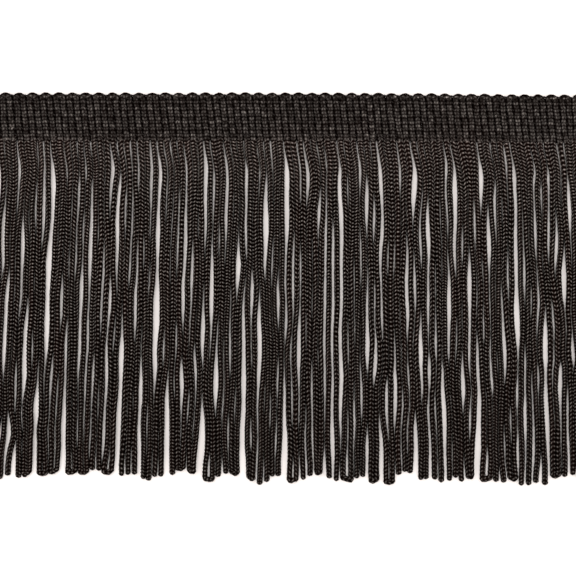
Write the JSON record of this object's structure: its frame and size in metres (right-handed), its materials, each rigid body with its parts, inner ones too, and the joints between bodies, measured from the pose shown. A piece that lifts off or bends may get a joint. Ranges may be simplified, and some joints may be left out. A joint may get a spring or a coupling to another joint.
{
  "type": "chainette fringe trim",
  "caption": "Cut length of fringe trim lying flat: a ribbed, bound heading with a scalloped edge and a fringe of long knitted chainette strands, some joined in loops at the foot.",
  "frame": {"origin": "middle of the heading's flat back, on the surface that the trim lies on", "axes": "+X along the trim, +Y from the feet of the fringe towards the scalloped edge, +Z off the surface, out of the trim's face"},
  "size_m": [0.1714, 0.104, 0.0019],
  "materials": {
    "chainette": "near-black brown knitted chainette cord with a soft lustre"
  },
  "bodies": {
    "root": {"heading": "chainette", "fringe": "chainette"}
  },
  "joints": []
}
